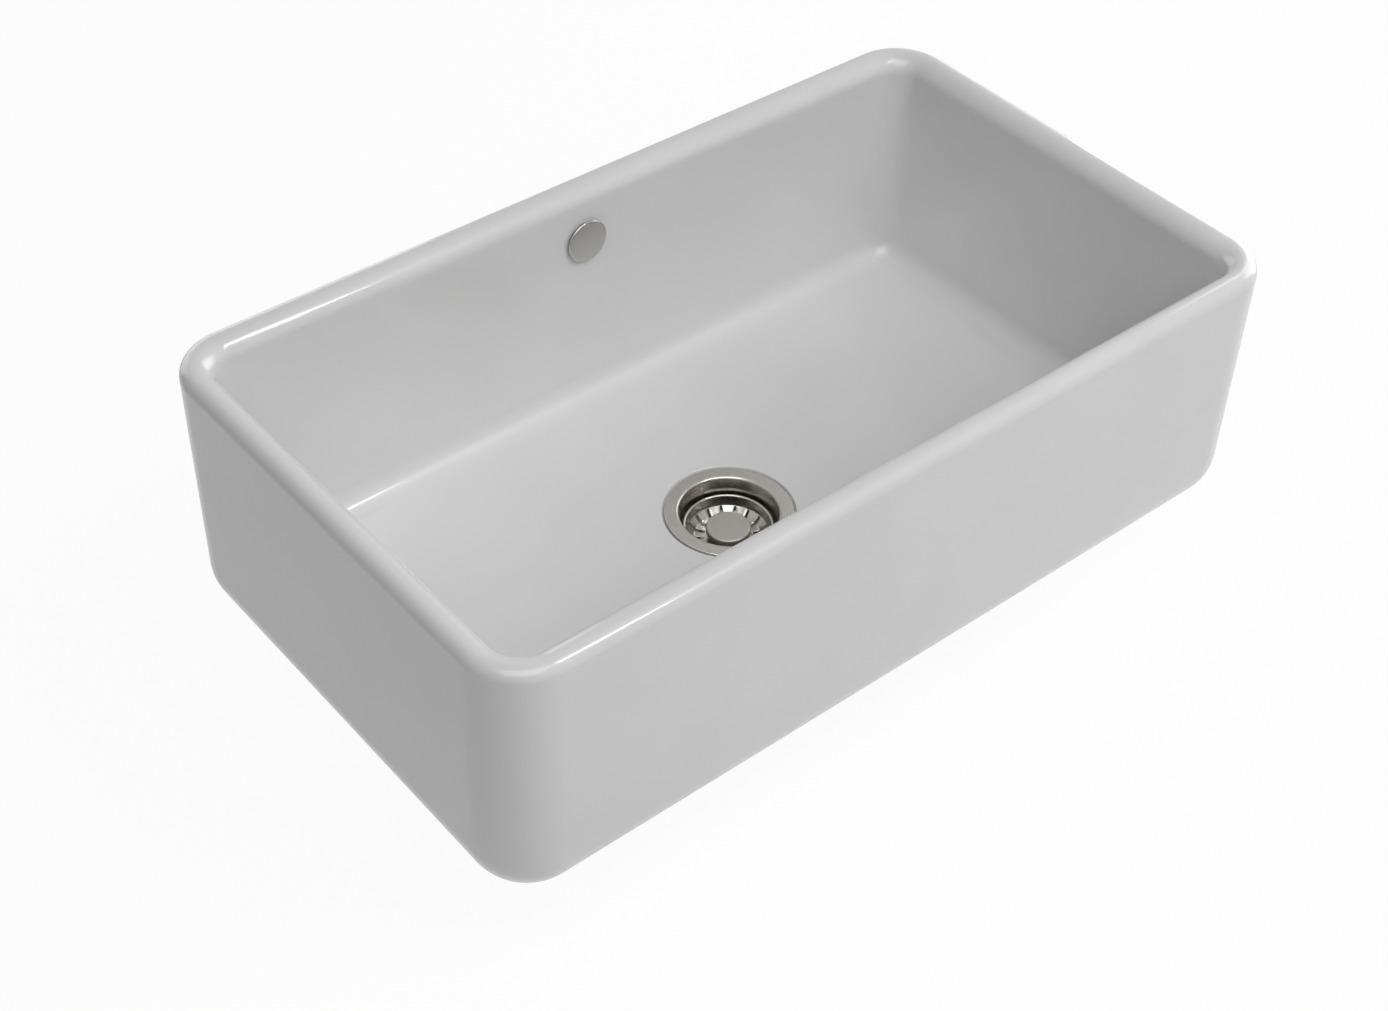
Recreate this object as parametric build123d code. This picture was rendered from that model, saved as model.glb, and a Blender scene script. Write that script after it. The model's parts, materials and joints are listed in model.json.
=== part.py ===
"""Farmhouse apron front sink: a fireclay basin with its basket strainer waste and its overflow.

Millimetres, +Z up. The origin is the middle of the basin's flat underside, on the axis of the
waste. +X runs along the long side, the apron faces -Y, and the overflow is in the back wall at +Y.
Heights of the waste are worked down from the flange, and depths of the overflow are worked out
from the inner face of the back wall.
"""

import os
from math import isclose, radians, tan

from build123d import *

# ---------------------------------------------------------------- basin
LENGTH = 795.0  # outside, left to right
WIDTH = 461.0  # outside, apron to back
HEIGHT = 250.0  # underside to the top of the rim
WALL = 27.0  # thickness of all four walls at the rim
FLOOR = 28.0  # thickness of the floor beside the waste
FLOOR_FALL = 3.0  # how far the floor drops from the walls to the waste
CORNER_ROLL = 51.0  # outer upright corners
BOTTOM_ROLL = 47.0  # outer bottom edge
RIM_OUTER_ROLL = 9.8  # top edge, outside
RIM_CREST = 0.4  # flat left between the rim's two rolls
FLOOR_ROLL = 20.0  # inner edge between walls and floor
CAVITY_DRAFT = 0.25  # degrees, so that the cast leaves its mould
ROLL_MARGIN = 3.0  # least left of an upright corner's radius by the roll along its foot
FLANGE_LAND = 3.0  # level band round the flange's recess
GLAZE_EDGE = 1.2  # soft edge of the glazed holes
SPOT_FACE = 0.5  # depth to which the clay is ground flat under the two gaskets
SPOT_MARGIN = 3.0  # how far that ground ring reaches past what sits on it

# ---------------------------------------------------------------- clearances
FIT = 0.05  # radial play of a pin that turns or slides in a hole
PLAY = 0.15  # end play between pieces that turn on each other
LIFT_GAP = 0.3  # gap under what lifts out
LOOSE = 0.4  # radial gap round what is dropped into a hole
OVERCUT = 1.0  # how far a cutter runs past the face that it opens

# ---------------------------------------------------------------- strainer waste
WASTE_HOLE = 45.0  # radius of the hole through the floor
FLANGE = 57.0  # radius of the polished flange
FLANGE_MARGIN = 1.5  # gap between the flange and the edge of its recess
FLANGE_LIP = 2.6  # how far the flange's edge is turned down
SHEET = 1.2  # pressed steel of the bowl
FLANGE_SEAL = 2.0  # thickness of the seal under the flange
SEAL_BAND = 9.0  # width of that seal
SEAT_DEPTH = 39.6  # from the flange down to the stopper's seat
SEAT_FALL = 2.3  # how far the bowl's bottom slopes down to the seat
BOWL_TAPER = 1.8  # how much the bowl narrows on its way down
NECK = 26.0  # radius of the neck below the seat
SEAT_BAND = 5.5  # flat width of the seat
SPIDER_ARM = 6.0  # width of the arms across the neck
SPIDER_ARMS = 4
SPIDER_HUB = 11.5  # radius of the plate in the middle of the arms
FLANGE_ROLLS = (0, 3.0)  # bends at the flange's edge and at the mouth
BOWL_ROLLS = (8.0, 0, 0, 0)  # bends down the bowl, from its wall to its bottom

UNDER_SEAL = 4.0  # thickness of the gasket below the basin
UNDER_SEAL_BAND = 8.0  # width of that gasket
BODY_FLANGE = 4.0  # thickness of the waste body's top flange
BODY_GAP = 3.0  # overflow water's way between bowl and waste body
BODY_WALL = 3.0  # thickness of the waste body's cup
CUP_ROOM = 7.65  # straight part of that cup below the bowl
FUNNEL_DEPTH = 14.0  # from the cup down to the outlet
OUTLET_BORE = 20.0  # radius inside the outlet
OUTLET = 23.9  # radius outside the outlet, for a 1 1/2 inch trap nut
OUTLET_LENGTH = 31.0
HUB = 11.0  # radius of the hub that the clamp screw pulls up
HUB_FLOOR = 4.0  # closed end below the insert
RIB = 3.0  # thickness of the ribs that carry the hub
RIB_DROP = 3.0  # ribs start this far below the bowl
RIB_COUNT = 4
TAIL = 10.0  # radius of both hose tails
TAIL_BORE = 8.0  # radius inside them
TAIL_COLLAR = 11.5  # radius of the collar that the hose is pushed up to
TAIL_SEAT = 24.0  # length of the hose on its tail
COLLAR_LENGTH = 11.0  # from the waste body's cup to the end of the collar
TAIL_DROP = 20.0  # its axis below the basin's underside
TAIL_CHAMFER = 0.8  # lead-in of both hose tails

# ---------------------------------------------------------------- clamp screw
SCREW = 5.0  # radius of the M10 shank
SCREW_HEAD = 8.5  # radius of its head
SCREW_HEAD_HEIGHT = 5.2
HEAD_EDGE = 0.8  # chamfer round its head
SCREW_GRIP = 21.0  # length of the shank
STEM_SOCKET = 15.5  # depth of the hole that guides the basket's stem
DRIVER_SLOT = 2.0  # width and depth of the slot across the head
CLAMP_WASHER = 10.0  # radius of the washer under the head
CLAMP_WASHER_THICK = 1.0
INSERT_FLATS = 7.0  # half the width across the brass insert's flats
INSERT_LENGTH = 18.0
INSERT_SINK = 1.8  # insert's top below the hub's top

# ---------------------------------------------------------------- lift-out basket
BASKET_RIM = 40.0  # radius of the rolled rim
BASKET_SHEET = 0.8
BASKET_DEPTH = 16.9  # rim to floor, inside
RIM_WIDTH = 2.8  # flat width of the rolled rim
RIM_SKIRT = 2.5  # height of the rolled rim's outer edge
BASKET_WAIST = 36.5  # radius where the wall turns into the cone
BASKET_CONE = 5.9  # height of the cone above the floor
BASKET_FLOOR = 30.0  # radius of the floor
BASKET_ROLLS = (1.4, 0, 0, 0)  # bends from the rim's edge to the floor
SLOT_COUNT = 18
SLOT_WIDTH = 2.4
SLOT_INNER = 21.5  # radius where the slots start
SLOT_OUTER = 36.2  # radius where they end
STEM = 4.0  # radius of the basket's stem
STEM_TIP = 3.0  # radius of its end in the clamp screw
STEM_TIP_GAP = 1.0  # free depth below the stem
STEM_ENGAGED = 10.9  # how far the stem reaches up into the knob
RING_SECTION = 1.6  # height of the snap ring
RING_GROOVE = 0.75  # depth of its groove
RING_HEIGHT = 2.5  # its lower edge above the stem's end
NUT_FLATS = 6.5  # half the width across the stem nut's flats
NUT_THICK = 3.2
STOPPER = 29.0  # radius of the rubber stopper's lip
STOPPER_BODY = 25.5  # radius of its thick part
STOPPER_THICK = 4.4
STOPPER_LIP = 1.6  # thickness of its lip
STOPPER_STEP = 0.8  # height of the slope from the lip to the thick part
PLATE = 24.0  # radius of the stopper's backing plate
PLATE_THICK = 1.2
KNOB = 19.5  # radius of the knob
KNOB_TOP = 14.5  # its flat top above the basket's floor
KNOB_CAP = 6.5  # height of its rim
KNOB_SKIN = 2.0  # thickness of its top and rim
KNOB_POST = 7.0  # radius of its post
KNOB_EDGE = 1.0  # chamfer round its top

# ---------------------------------------------------------------- overflow
OVERFLOW_DROP = 50.0  # axis below the top of the rim
OVERFLOW_HOLE = 15.0  # radius of the hole through the back wall
COVER = 20.0  # radius of the round cover
COVER_THICK = 2.2
COVER_STAND_OFF = 2.9  # water gap between the cover and the wall
COVER_EDGE = 0.9  # roll of its front edge
COVER_BOSS = 6.0  # radius of the boss that takes the stud
COVER_HOLLOW = 0.9  # depth of the cover's hollow back
COVER_RIM = 2.0  # width of the cover's rim beside that hollow
FRONT_SEAL = 0.8  # thickness of the seal under the front ring
FRONT_SEAL_BAND = 4.0
FRONT_RING = 17.5  # radius of the front ring's flange
FRONT_RING_THICK = 1.0
FRONT_SLEEVE = 13.2  # radius of its sleeve inside the hole
FRONT_SLEEVE_WALL = 1.2
FRONT_SLEEVE_LENGTH = 8.0
ARM_COUNT = 3  # arms of the front ring, and of the elbow's nose
ARM_WIDTH = 4.0
FRONT_HUB = 6.0  # radius of the front ring's hub
STUD = 3.0  # radius of the M6 stud
STUD_LENGTH = 22.8
STUD_IN_COVER = 2.0  # how far it goes into the cover
REAR_SEAL = 3.0  # thickness of the gasket behind the wall
REAR_SEAL_BAND = 8.0
REAR_FLANGE = 24.0  # radius of the elbow's flange
REAR_FLANGE_THICK = 4.0
NOSE = 14.0  # radius of the elbow's nose inside the wall
NOSE_WALL = 2.2
NOSE_REACH = 18.0  # how far the nose goes into the wall
REAR_ARM_LENGTH = 9.0
REAR_HUB = 6.5  # radius of the hub in the nose
REAR_INSERT = 4.5  # radius of the brass insert in the elbow
ELBOW_BORE = 14.0  # radius of the elbow's chamber
ELBOW_WALL = 2.5
ELBOW_DEPTH = 18.0  # chamber behind the flange, inside
ELBOW_END = 3.0  # thickness of the chamber's closed end
ELBOW_COLLAR = 12.0  # from the chamber down to the end of the collar

# ---------------------------------------------------------------- worked-out places
INNER_LENGTH = LENGTH - 2 * WALL
INNER_WIDTH = WIDTH - 2 * WALL
INNER_CORNER = CORNER_ROLL - WALL
RIM_INNER_ROLL = WALL - RIM_OUTER_ROLL - RIM_CREST
RECESS = FLANGE + FLANGE_MARGIN
RECESS_Z = FLOOR - SHEET - FLANGE_SEAL
LAND = RECESS + FLANGE_LAND

MOUTH = WASTE_HOLE - LOOSE - SHEET
SEAT_Z = FLOOR - SEAT_DEPTH
NUT_TOP = SEAT_Z + LIFT_GAP - PLAY
NUT_BOTTOM = NUT_TOP - NUT_THICK
SCREW_TOP = NUT_BOTTOM - LIFT_GAP
SCREW_SEAT = SCREW_TOP - SCREW_HEAD_HEIGHT
SPIDER_Z = SCREW_SEAT - CLAMP_WASHER_THICK
BOWL_BOTTOM = SPIDER_Z - SHEET
BODY_BORE = MOUTH + BODY_GAP - LOOSE
BODY_TOP = SPOT_FACE - UNDER_SEAL
BODY_FLANGE_Z = BODY_TOP - BODY_FLANGE
CUP_Z = BOWL_BOTTOM - CUP_ROOM
OUTLET_TOP = CUP_Z - FUNNEL_DEPTH
OUTLET_END = OUTLET_TOP - OUTLET_LENGTH
INSERT_TOP = BOWL_BOTTOM - INSERT_SINK
INSERT_BOTTOM = INSERT_TOP - INSERT_LENGTH
HUB_BOTTOM = INSERT_BOTTOM - HUB_FLOOR

STOPPER_Z = SEAT_Z + LIFT_GAP
PLATE_Z = STOPPER_Z + STOPPER_THICK
BASKET_Z = PLATE_Z + PLATE_THICK + PLAY + BASKET_SHEET
STEM_END = SCREW_TOP - STEM_SOCKET + STEM_TIP_GAP
RING_Z = STEM_END + RING_HEIGHT

OVERFLOW_Z = HEIGHT - OVERFLOW_DROP
WALL_LEAN = (OVERFLOW_DROP + FRONT_RING) * tan(radians(CAVITY_DRAFT))
WALL_DEPTH = WALL + WALL_LEAN
WALL_FACE = WIDTH / 2 - WALL_DEPTH
RING_FACE = -FRONT_SEAL - FRONT_RING_THICK
COVER_BACK = -COVER_STAND_OFF
GROUND_FACE = WALL_DEPTH - SPOT_FACE
REAR_FACE = GROUND_FACE + REAR_SEAL
NOSE_END = WALL_DEPTH - NOSE_REACH
CHAMBER_START = REAR_FACE + REAR_FLANGE_THICK
CHAMBER_END = CHAMBER_START + ELBOW_DEPTH
ELBOW_SHELL = ELBOW_BORE + ELBOW_WALL
NOSE_BORE = NOSE - NOSE_WALL


def turned(*outline):
    """Solid of revolution about Z, from the (radius, height) corners of its half section."""
    section = make_face(Polyline(*outline, close=True))
    return revolve(Plane.XZ * section, Axis.Z)


def pressed(points, rolls, sheet):
    """Turned sheet metal: its shown face follows the (radius, height) points."""
    face_line = FilletPolyline(*points, radius=rolls)
    section = make_face(offset(face_line, amount=sheet, side=Side.LEFT).edges())
    return revolve(Plane.XZ * section, Axis.Z)


def ring(inner, outer, low, high):
    """Plain ring or disc about Z between two heights."""
    disc = Pos(0, 0, (low + high) / 2) * Cylinder(outer, high - low)
    if inner <= 0:
        return disc
    return disc - Pos(0, 0, (low + high) / 2) * Cylinder(inner, high - low)


def bar(length, width, low, high):
    """Upright bar that starts on the Z axis and runs along +X."""
    return Pos(length / 2, 0, (low + high) / 2) * Box(length, width, high - low)


def around(shape, count, start=0.0):
    """Copies of a shape evenly spaced about Z, the first turned by start degrees."""
    return [Rot(0, 0, start + turn * 360 / count) * shape for turn in range(count)]


def prism(flats, low, high, sides=6):
    """Hexagonal prism about Z, from half its width across flats."""
    outline = RegularPolygon(flats, sides, major_radius=False)
    return Pos(0, 0, low) * extrude(outline, high - low)


def in_wall(shape):
    """Moves a shape from the Z axis to the overflow: +Z becomes the way out of the back wall."""
    return Pos(0, WALL_FACE, OVERFLOW_Z) * Rot(-90, 0, 0) * shape


# ---------------------------------------------------------------- the basin
def cavity():
    """The space inside the basin, with its rolled bottom edge and its falls to the waste."""
    floor_edge = FLOOR + FLOOR_FALL
    plan = RectangleRounded(INNER_LENGTH, INNER_WIDTH, INNER_CORNER)
    block = Pos(0, 0, HEIGHT) * extrude(plan, floor_edge - HEIGHT, taper=CAVITY_DRAFT)
    bottom = block.faces().sort_by(Axis.Z)[0]
    block = fillet(bottom.edges(), min(FLOOR_ROLL, INNER_CORNER - ROLL_MARGIN))
    rim = block.faces().sort_by(Axis.Z)[0].outer_wire()
    around_waste = Pos(0, 0, FLOOR) * RectangleRounded(2 * LAND, 2 * LAND, LAND - FIT)
    falls = loft([make_face(rim.edges()), around_waste], ruled=True)
    return block + falls


def soft_edge(shell, radius, direction):
    """Rounds the outermost edge, along a direction, of the round hole of that radius."""
    sides = [face for face in shell.faces().filter_by(GeomType.CYLINDER) if isclose(face.radius, radius)]
    ends = [edge for side in sides for edge in side.edges() if edge.geom_type != GeomType.LINE]
    return fillet(max(ends, key=lambda edge: edge.center().dot(direction)), GLAZE_EDGE)


def basin():
    """Fireclay basin with rolled edges, the flange recess, the waste hole and the overflow hole."""
    block = extrude(RectangleRounded(LENGTH, WIDTH, CORNER_ROLL), HEIGHT)
    block = fillet(block.faces().sort_by(Axis.Z)[0].edges(), min(BOTTOM_ROLL, CORNER_ROLL - ROLL_MARGIN))
    block = fillet(block.faces().sort_by(Axis.Z)[-1].edges(), RIM_OUTER_ROLL)
    shell = block - cavity()
    crest = shell.faces().filter_by(Plane.XY).sort_by(Axis.Z)[-1]
    shell = fillet(crest.inner_wires().edges(), RIM_INNER_ROLL)
    shell -= ring(0, RECESS, RECESS_Z, FLOOR + OVERCUT)
    shell -= ring(0, WASTE_HOLE, -OVERCUT, RECESS_Z + OVERCUT)
    shell -= ring(0, FLANGE + SPOT_MARGIN, -OVERCUT, SPOT_FACE)
    shell -= in_wall(ring(0, OVERFLOW_HOLE, -WALL, 2 * WALL))
    shell -= in_wall(ring(0, REAR_FLANGE + SPOT_MARGIN, GROUND_FACE, WALL_DEPTH + OVERCUT))
    return soft_edge(shell, RECESS, Vector(0, 0, 1))


# ---------------------------------------------------------------- the strainer waste
def strainer_bowl():
    """Pressed bowl: turned-down flange, tapering wall, stopper seat, neck and four-armed bottom."""
    points = [
        (FLANGE, FLOOR - FLANGE_LIP),
        (FLANGE, FLOOR),
        (MOUTH, FLOOR),
        (MOUTH - BOWL_TAPER, SEAT_Z + SEAT_FALL),
        (NECK + SEAT_BAND, SEAT_Z),
        (NECK, SEAT_Z),
        (NECK, SPIDER_Z),
        (SCREW + LOOSE, SPIDER_Z),
    ]
    bowl = pressed(points, FLANGE_ROLLS + BOWL_ROLLS, SHEET)
    low, high = BOWL_BOTTOM - OVERCUT, SPIDER_Z + OVERCUT
    windows = ring(SPIDER_HUB, NECK - SHEET, low, high)
    for arm in around(bar(NECK, SPIDER_ARM, low, high), SPIDER_ARMS):
        windows -= arm
    return bowl - windows


def flange_seal():
    """Foam seal between the flange and the recess in the floor."""
    outer = FLANGE - SHEET - LIFT_GAP
    return ring(outer - SEAL_BAND, outer, RECESS_Z, RECESS_Z + FLANGE_SEAL)


def lower_gasket():
    """Rubber gasket between the basin's underside and the waste body."""
    outer = FLANGE - SHEET
    return ring(outer - UNDER_SEAL_BAND, outer, BODY_TOP, SPOT_FACE)


def hose_tail(collar_end):
    """Hose tail along +Z: its collar, the seat of the hose and a lead-in, filled."""
    end = collar_end + TAIL_SEAT
    collar = (TAIL_COLLAR, 0), (TAIL_COLLAR, collar_end)
    seat = (TAIL, collar_end), (TAIL, end - TAIL_CHAMFER), (TAIL - TAIL_CHAMFER, end)
    return turned((0, 0), *collar, *seat, (0, end))


def waste_body():
    """Moulded body below the basin: cup, funnel, outlet, ribbed hub and the overflow's hose tail."""
    slope = FUNNEL_DEPTH / (BODY_BORE - OUTLET_BORE)
    drop = BODY_WALL * (1 + slope**2) ** 0.5
    cup = BODY_BORE + BODY_WALL
    outside = turned(
        (0, BODY_TOP),
        (FLANGE, BODY_TOP),
        (FLANGE, BODY_FLANGE_Z),
        (cup, BODY_FLANGE_Z),
        (cup, CUP_Z + BODY_WALL * slope - drop),
        (OUTLET, OUTLET_TOP + (OUTLET - OUTLET_BORE) * slope - drop),
        (OUTLET, OUTLET_END),
        (0, OUTLET_END),
    )
    collar_end = cup + COLLAR_LENGTH
    at_tail = Pos(0, 0, -TAIL_DROP) * Rot(-90, 0, 0)
    body = outside + at_tail * hose_tail(collar_end)
    body -= turned(
        (0, BODY_TOP + OVERCUT),
        (BODY_BORE, BODY_TOP + OVERCUT),
        (BODY_BORE, CUP_Z),
        (OUTLET_BORE, OUTLET_TOP),
        (OUTLET_BORE, OUTLET_END - OVERCUT),
        (0, OUTLET_END - OVERCUT),
    )
    body -= at_tail * ring(0, TAIL_BORE, BODY_BORE / 2, collar_end + TAIL_SEAT + OVERCUT)
    rib_top = BOWL_BOTTOM - RIB_DROP
    inside = turned(
        (0, rib_top),
        (BODY_BORE + OVERCUT, rib_top),
        (BODY_BORE + OVERCUT, CUP_Z),
        (OUTLET_BORE + OVERCUT, OUTLET_TOP),
        (OUTLET_BORE + OVERCUT, HUB_BOTTOM),
        (0, HUB_BOTTOM),
    )
    one_rib = bar(BODY_BORE + BODY_WALL, RIB, HUB_BOTTOM, rib_top)
    for rib in around(one_rib, RIB_COUNT, 180 / RIB_COUNT):
        body += rib & inside
    body += ring(0, HUB, HUB_BOTTOM, BOWL_BOTTOM)
    body -= ring(0, SCREW + LOOSE, INSERT_TOP, BOWL_BOTTOM + OVERCUT)
    return body - prism(INSERT_FLATS, INSERT_BOTTOM, INSERT_TOP)


def hub_insert():
    """Brass insert moulded into the hub, which takes the clamp screw."""
    return prism(INSERT_FLATS, INSERT_BOTTOM, INSERT_TOP) - ring(0, SCREW + FIT, INSERT_BOTTOM, INSERT_TOP)


def clamp_washer():
    """Washer between the screw's head and the bowl's arms."""
    return ring(SCREW + LOOSE, CLAMP_WASHER, SPIDER_Z, SCREW_SEAT)


def clamp_screw():
    """Slotted screw that pulls bowl and waste body together, bored to guide the basket's stem."""
    screw = turned(
        (0, SCREW_TOP),
        (SCREW_HEAD - HEAD_EDGE, SCREW_TOP),
        (SCREW_HEAD, SCREW_TOP - HEAD_EDGE),
        (SCREW_HEAD, SCREW_SEAT),
        (SCREW, SCREW_SEAT),
        (SCREW, SCREW_SEAT - SCREW_GRIP),
        (0, SCREW_SEAT - SCREW_GRIP),
    )
    screw -= ring(0, STEM_TIP + FIT, SCREW_TOP - STEM_SOCKET, SCREW_TOP + OVERCUT)
    return screw - Pos(0, 0, SCREW_TOP) * Box(3 * SCREW_HEAD, DRIVER_SLOT, 2 * DRIVER_SLOT)


# ---------------------------------------------------------------- the lift-out basket
def basket_shell():
    """Pressed basket: rolled rim, wall, cone and floor, with slots round the turn of its floor."""
    rim = BASKET_Z + BASKET_DEPTH
    points = [
        (BASKET_RIM, rim - RIM_SKIRT),
        (BASKET_RIM, rim),
        (BASKET_RIM - RIM_WIDTH, rim),
        (BASKET_WAIST, BASKET_Z + BASKET_CONE),
        (BASKET_FLOOR, BASKET_Z),
        (STEM + LOOSE, BASKET_Z),
    ]
    shell = pressed(points, BASKET_ROLLS, BASKET_SHEET)
    outline = Rectangle(SLOT_OUTER - SLOT_INNER, SLOT_WIDTH)
    low, high = BASKET_Z - BASKET_SHEET - OVERCUT, BASKET_Z + BASKET_CONE + OVERCUT
    cutter = Pos((SLOT_OUTER + SLOT_INNER) / 2, 0, low) * extrude(outline, high - low)
    for slot in around(cutter, SLOT_COUNT):
        shell -= slot
    return shell


def basket_knob():
    """Flat-topped knob, hollow underneath, on the post that holds the stem."""
    top = BASKET_Z + KNOB_TOP
    knob = turned(
        (0, top),
        (KNOB - KNOB_EDGE, top),
        (KNOB, top - KNOB_EDGE),
        (KNOB, top - KNOB_CAP),
        (KNOB - KNOB_SKIN, top - KNOB_CAP),
        (KNOB - KNOB_SKIN, top - KNOB_SKIN),
        (KNOB_POST, top - KNOB_SKIN),
        (KNOB_POST, BASKET_Z),
        (0, BASKET_Z),
    )
    return knob - ring(0, STEM + FIT, BASKET_Z - OVERCUT, BASKET_Z + STEM_ENGAGED)


def basket_stem():
    """Stem from the knob through the stopper into the clamp screw, with a groove for its ring."""
    return turned(
        (0, BASKET_Z + STEM_ENGAGED),
        (STEM, BASKET_Z + STEM_ENGAGED),
        (STEM, NUT_BOTTOM),
        (STEM_TIP, NUT_BOTTOM),
        (STEM_TIP, RING_Z + RING_SECTION),
        (STEM_TIP - RING_GROOVE, RING_Z + RING_SECTION),
        (STEM_TIP - RING_GROOVE, RING_Z),
        (STEM_TIP, RING_Z),
        (STEM_TIP, STEM_END),
        (0, STEM_END),
    )


def stem_ring():
    """Snap ring in the stem's groove, which grips the screw's bore."""
    return ring(STEM_TIP - RING_GROOVE + FIT, STEM_TIP, RING_Z, RING_Z + RING_SECTION)


def stem_nut():
    """Thin hexagon nut under the stopper."""
    return prism(NUT_FLATS, NUT_BOTTOM, NUT_TOP) - ring(0, STEM + FIT, NUT_BOTTOM, NUT_TOP)


def stopper_seal():
    """Rubber stopper with a thin sealing lip."""
    return turned(
        (STEM + FIT, STOPPER_Z),
        (STOPPER, STOPPER_Z),
        (STOPPER, STOPPER_Z + STOPPER_LIP),
        (STOPPER_BODY, STOPPER_Z + STOPPER_LIP + STOPPER_STEP),
        (STOPPER_BODY, PLATE_Z),
        (STEM + FIT, PLATE_Z),
    )


def stopper_plate():
    """Steel plate that backs the stopper."""
    return ring(STEM + FIT, PLATE, PLATE_Z, PLATE_Z + PLATE_THICK)


# ---------------------------------------------------------------- the overflow
def overflow_front_seal():
    """Foam seal between the front ring and the glaze."""
    return in_wall(ring(FRONT_RING - FRONT_SEAL_BAND, FRONT_RING, -FRONT_SEAL, 0))


def overflow_ring():
    """Front ring: flange, sleeve into the wall, and three arms that carry the stud's hub."""
    sleeve_bore = FRONT_SLEEVE - FRONT_SLEEVE_WALL
    piece = ring(sleeve_bore, FRONT_RING, RING_FACE, -FRONT_SEAL)
    piece += ring(sleeve_bore, FRONT_SLEEVE, -FRONT_SEAL, FRONT_SLEEVE_LENGTH)
    one_arm = bar(sleeve_bore + OVERCUT, ARM_WIDTH, RING_FACE, -FRONT_SEAL)
    for arm in around(one_arm, ARM_COUNT, 90):
        piece += arm
    piece += ring(0, FRONT_HUB, RING_FACE, -FRONT_SEAL)
    return in_wall(piece - ring(0, STUD + LOOSE, RING_FACE - OVERCUT, 0))


def overflow_cover():
    """Round cover that stands off the wall, with a rolled edge, a hollow back and a boss."""
    face = COVER_BACK - COVER_THICK
    inner = COVER - COVER_RIM
    outline = FilletPolyline(
        (0, face),
        (COVER, face),
        (COVER, COVER_BACK),
        (inner, COVER_BACK),
        (inner, COVER_BACK - COVER_HOLLOW),
        (COVER_BOSS, COVER_BACK - COVER_HOLLOW),
        (COVER_BOSS, RING_FACE),
        (0, RING_FACE),
        radius=(COVER_EDGE, 0, 0, 0, 0, 0),
    )
    section = make_face([*outline.edges(), Line((0, RING_FACE), (0, face))])
    cover = revolve(Plane.XZ * section, Axis.Z)
    return in_wall(cover - ring(0, STUD + FIT, RING_FACE - STUD_IN_COVER, 0))


def overflow_stud():
    """Threaded stud from the cover to the insert in the elbow."""
    start = RING_FACE - STUD_IN_COVER
    return in_wall(ring(0, STUD, start, start + STUD_LENGTH))


def overflow_rear_gasket():
    """Rubber gasket between the basin's back and the elbow."""
    inner = NOSE + LIFT_GAP
    return in_wall(ring(inner, inner + REAR_SEAL_BAND, GROUND_FACE, REAR_FACE))


def overflow_elbow():
    """Moulded elbow behind the basin: nose, flange, chamber and the hose tail that points down."""
    piece = ring(0, REAR_FLANGE, REAR_FACE, CHAMBER_START)
    piece += ring(0, ELBOW_SHELL, CHAMBER_START, CHAMBER_END + ELBOW_END)
    collar_end = ELBOW_SHELL + ELBOW_COLLAR
    at_tail = Pos(0, 0, (CHAMBER_START + CHAMBER_END) / 2) * Rot(-90, 0, 0)
    piece += at_tail * hose_tail(collar_end)
    piece -= ring(0, ELBOW_BORE, CHAMBER_START, CHAMBER_END)
    piece -= at_tail * ring(0, TAIL_BORE, 0, collar_end + TAIL_SEAT + OVERCUT)
    piece += ring(0, NOSE, NOSE_END, REAR_FACE)
    piece -= ring(0, NOSE_BORE, NOSE_END - OVERCUT, CHAMBER_START + OVERCUT)
    arm_end = NOSE_END + REAR_ARM_LENGTH
    one_arm = bar(NOSE_BORE + OVERCUT, ARM_WIDTH, NOSE_END, arm_end)
    for arm in around(one_arm, ARM_COUNT, 90):
        piece += arm
    piece += ring(0, REAR_HUB, NOSE_END, arm_end)
    return in_wall(piece - ring(0, REAR_INSERT + FIT, NOSE_END - OVERCUT, arm_end + OVERCUT))


def overflow_insert():
    """Brass insert in the elbow's hub, which takes the stud."""
    return in_wall(ring(STUD + FIT, REAR_INSERT, NOSE_END, NOSE_END + REAR_ARM_LENGTH))


PIECES = (
    basin,
    strainer_bowl,
    flange_seal,
    lower_gasket,
    waste_body,
    hub_insert,
    clamp_washer,
    clamp_screw,
    basket_shell,
    basket_knob,
    basket_stem,
    stem_ring,
    stem_nut,
    stopper_seal,
    stopper_plate,
    overflow_front_seal,
    overflow_ring,
    overflow_cover,
    overflow_stud,
    overflow_rear_gasket,
    overflow_elbow,
    overflow_insert,
)


def main():
    """Builds every piece and writes one STEP file for each, named after its function."""
    os.makedirs("parts", exist_ok=True)
    for make in PIECES:
        export_step(make(), f"parts/{make.__name__}.step")


main()
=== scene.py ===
"""Looks of a farmhouse apron front sink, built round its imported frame.

The fireclay basin, its basket strainer waste and its covered overflow have classes that hold the
sizes of the pieces that show, and model them. The sink's own class dresses the rest. Lengths are in
metres and in the frame's axes: +X along the long side, the apron facing -Y, +Z up.
"""

from __future__ import annotations

import json
import logging
from dataclasses import dataclass, field, replace
from enum import Enum
from functools import reduce
from math import asin, atan2, cos, pi, radians, sin, tan
from typing import Callable, Iterable

import bmesh
import bpy
from bmesh.types import BMEdge, BMesh, BMFace, BMVert
from bpy.types import ID, Material, NodeSocket, NodeTree, Object
from mathutils import Matrix, Quaternion, Vector

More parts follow.
